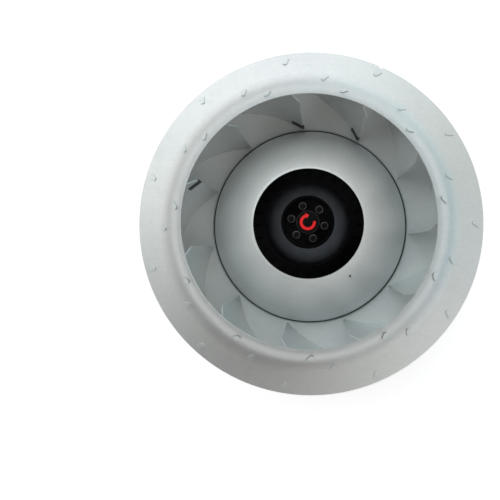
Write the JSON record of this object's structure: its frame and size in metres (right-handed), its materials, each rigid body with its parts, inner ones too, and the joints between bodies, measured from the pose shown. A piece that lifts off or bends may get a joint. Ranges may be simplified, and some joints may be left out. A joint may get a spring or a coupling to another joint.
{
  "type": "motorized impeller",
  "caption": "Backward-curved centrifugal wheel of sheet steel with an external rotor motor in its hub, drawing air in at the front and blowing it out all round.",
  "frame": {"origin": "on the spin axis, at the rear face of the mounting flange", "axes": "+Z along the spin axis towards the air inlet; +Y runs to the middle between the two top mounting holes; the cable gland faces -Y"},
  "size_m": [0.316, 0.316, 0.1222],
  "materials": {
    "galvanised_sheet": "galvanised",
    "spring_steel": "blackened",
    "black_casting": "black stoved paint",
    "black_screw_steel": "black oxide",
    "black_cap": "moulded",
    "red_marking": "printed",
    "ground_steel": "ground",
    "bearing_steel": "polished",
    "cage_plastic": "moulded",
    "laminated_steel": "stacked sheet",
    "cast_aluminium": "die cast",
    "insulator_plastic": "moulded",
    "enamelled_copper": "enamelled",
    "protector_plastic": "moulded",
    "gland_rubber": "matt",
    "plated_steel": "zinc plated"
  },
  "bodies": {
    "stator": {"mounting_flange": "cast_aluminium", "stator_core": "laminated_steel", "front_slot_insulator": "insulator_plastic", "rear_slot_insulator": "insulator_plastic", "main_winding": "enamelled_copper", "auxiliary_winding": "enamelled_copper", "thermal_protector": "protector_plastic", "front_bearing_outer_ring": "bearing_steel", "rear_bearing_outer_ring": "bearing_steel", "preload_washer": "spring_steel", "bearing_cover": "galvanised_sheet", "cable_gland": "gland_rubber", "earth_screw": "plated_steel"},
    "wheel": {"balance_clip_01": "spring_steel", "balance_clip_02": "spring_steel", "balance_clip_03": "spring_steel", "blade_01": "galvanised_sheet", "blade_02": "galvanised_sheet", "blade_03": "galvanised_sheet", "blade_04": "galvanised_sheet", "blade_05": "galvanised_sheet", "blade_06": "galvanised_sheet", "blade_07": "galvanised_sheet", "blade_08": "galvanised_sheet", "blade_09": "galvanised_sheet", "blade_10": "galvanised_sheet", "blade_11": "galvanised_sheet", "centre_cap": "black_cap", "front_bearing_inner_ring": "bearing_steel", "hub_plate": "galvanised_sheet", "hub_screws": "black_screw_steel", "inlet_shroud": "galvanised_sheet", "rear_bearing_inner_ring": "bearing_steel", "rotation_arrow": "red_marking", "rotor_cage": "cast_aluminium", "rotor_core": "laminated_steel", "rotor_housing": "black_casting", "shaft": "ground_steel", "shaft_circlip": "spring_steel", "shaft_hub": "ground_steel"},
    "front_balls": {"front_bearing_balls": "bearing_steel", "front_bearing_cage": "cage_plastic"},
    "rear_balls": {"rear_bearing_balls": "bearing_steel", "rear_bearing_cage": "cage_plastic"}
  },
  "joints": [
    {"name": "wheel_spin", "type": "hinge", "parent": "stator", "child": "wheel", "pos_m": [0, 0, 0.06], "axis": [0, 0, -1], "continuous": true},
    {"name": "front_ball_orbit", "type": "hinge", "parent": "stator", "child": "front_balls", "pos_m": [0, 0, 0.083], "axis": [0, 0, -1], "continuous": true},
    {"name": "rear_ball_orbit", "type": "hinge", "parent": "stator", "child": "rear_balls", "pos_m": [0, 0, 0.019], "axis": [0, 0, -1], "continuous": true}
  ],
  "couplings": [
    {"joint": "front_ball_orbit", "follows": "wheel_spin", "ratio": 0.3659},
    {"joint": "rear_ball_orbit", "follows": "wheel_spin", "ratio": 0.3659}
  ]
}
